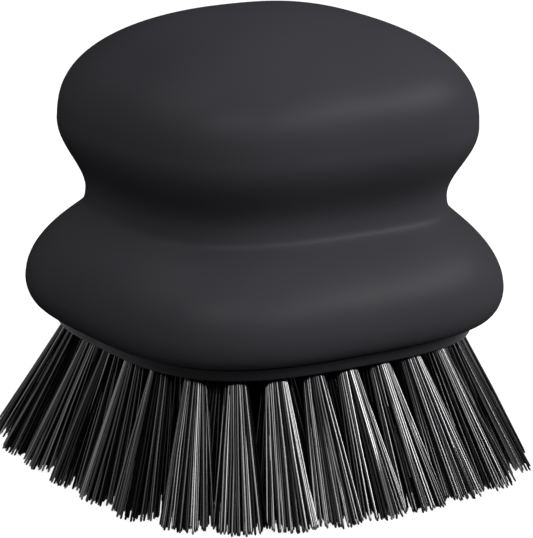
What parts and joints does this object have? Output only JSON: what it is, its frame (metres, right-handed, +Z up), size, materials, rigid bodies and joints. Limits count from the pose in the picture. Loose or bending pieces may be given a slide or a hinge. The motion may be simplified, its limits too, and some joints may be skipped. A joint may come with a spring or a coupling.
{
  "type": "dish brush",
  "caption": "Palm-held dish brush with a soft two-lobed knob grip waisted for the fingers, over a hard rounded-square block with outward-leaning bristle tufts trimmed to one plane.",
  "frame": {"origin": "On the plane of the trimmed bristle tips, under the middle of the tuft block.", "axes": "+Z up through the crown of the grip. X along the long side of the grip's rounded-square plan, Y along its short side."},
  "size_m": [0.0876, 0.0891, 0.0819],
  "materials": {
    "soft_touch": "soft-touch matt, dark charcoal",
    "core_plastic": "as moulded",
    "block_plastic": "fine satin",
    "bristle": "glossy black filament"
  },
  "bodies": {
    "root": {"grip": "soft_touch", "core": "core_plastic", "tuft_block": "block_plastic", "tuft_outer_01": "bristle", "tuft_outer_02": "bristle", "tuft_outer_03": "bristle", "tuft_outer_04": "bristle", "tuft_outer_05": "bristle", "tuft_outer_06": "bristle", "tuft_outer_07": "bristle", "tuft_outer_08": "bristle", "tuft_outer_09": "bristle", "tuft_outer_10": "bristle", "tuft_outer_11": "bristle", "tuft_outer_12": "bristle", "tuft_outer_13": "bristle", "tuft_outer_14": "bristle", "tuft_outer_15": "bristle", "tuft_outer_16": "bristle", "tuft_outer_17": "bristle", "tuft_outer_18": "bristle", "tuft_outer_19": "bristle", "tuft_outer_20": "bristle", "tuft_outer_21": "bristle", "tuft_outer_22": "bristle", "tuft_outer_23": "bristle", "tuft_outer_24": "bristle", "tuft_outer_25": "bristle", "tuft_outer_26": "bristle", "tuft_outer_27": "bristle", "tuft_outer_28": "bristle", "tuft_outer_29": "bristle", "tuft_second_01": "bristle", "tuft_second_02": "bristle", "tuft_second_03": "bristle", "tuft_second_04": "bristle", "tuft_second_05": "bristle", "tuft_second_06": "bristle", "tuft_second_07": "bristle", "tuft_second_08": "bristle", "tuft_second_09": "bristle", "tuft_second_10": "bristle", "tuft_second_11": "bristle", "tuft_second_12": "bristle", "tuft_second_13": "bristle", "tuft_second_14": "bristle", "tuft_second_15": "bristle", "tuft_second_16": "bristle", "tuft_second_17": "bristle", "tuft_third_01": "bristle", "tuft_third_02": "bristle", "tuft_third_03": "bristle", "tuft_third_04": "bristle", "tuft_third_05": "bristle", "tuft_third_06": "bristle", "tuft_third_07": "bristle", "tuft_third_08": "bristle", "tuft_centre_01": "bristle", "tuft_centre_02": "bristle", "tuft_centre_03": "bristle"}
  },
  "joints": []
}
